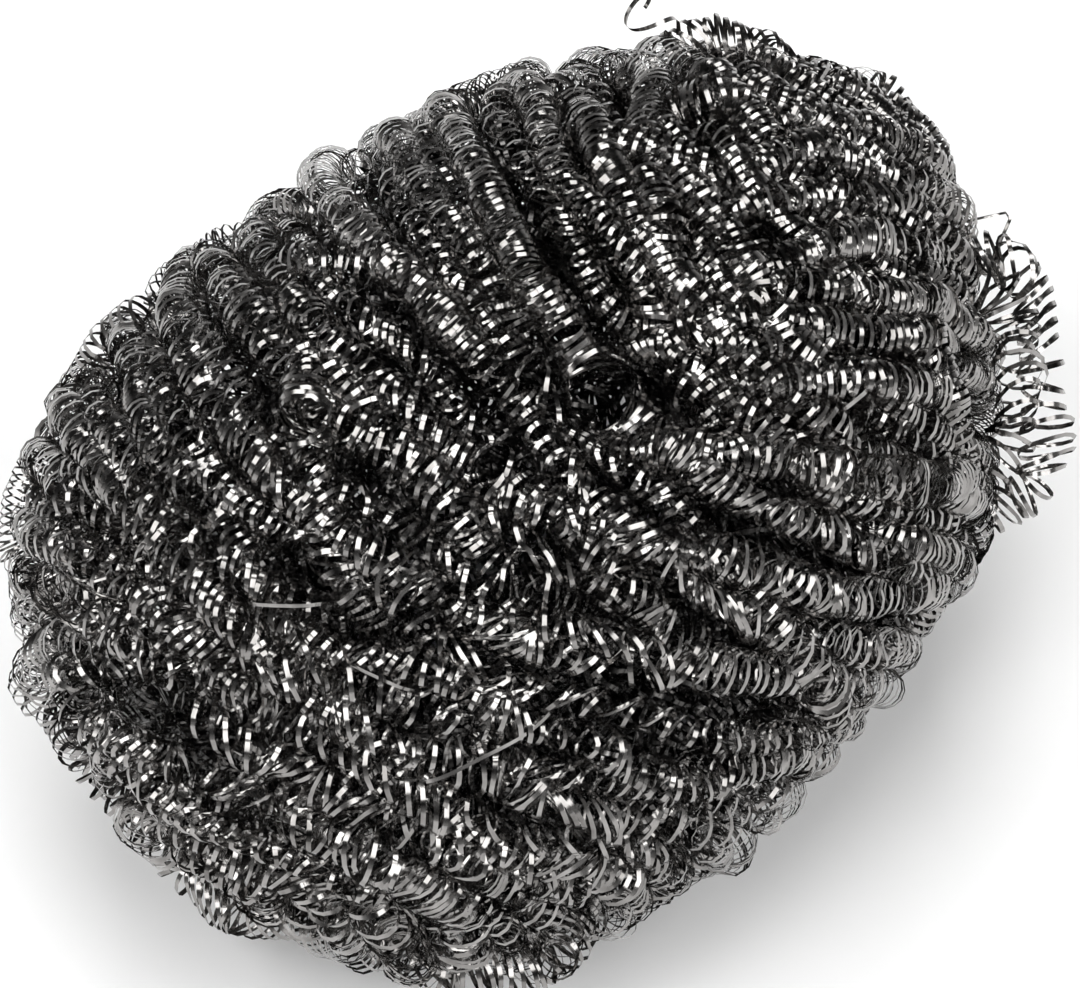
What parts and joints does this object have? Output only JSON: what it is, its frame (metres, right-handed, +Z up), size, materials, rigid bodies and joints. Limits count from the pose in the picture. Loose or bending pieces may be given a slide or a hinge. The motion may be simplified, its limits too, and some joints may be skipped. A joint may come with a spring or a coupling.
{
  "type": "stainless steel scourer",
  "caption": "Egg-shaped pot scourer wound from springy coils of flat stainless steel ribbon, resting on a flattened underside.",
  "frame": {"origin": "middle of the lump's outline, on the surface that it rests on", "axes": "+X along the lump towards its slim end, +Z up"},
  "size_m": [0.097, 0.0716, 0.0579],
  "materials": {
    "steel_ribbon": "bright drawn steel ribbon, near black between the coils"
  },
  "bodies": {
    "root": {"wound_coils": "steel_ribbon"}
  },
  "joints": []
}
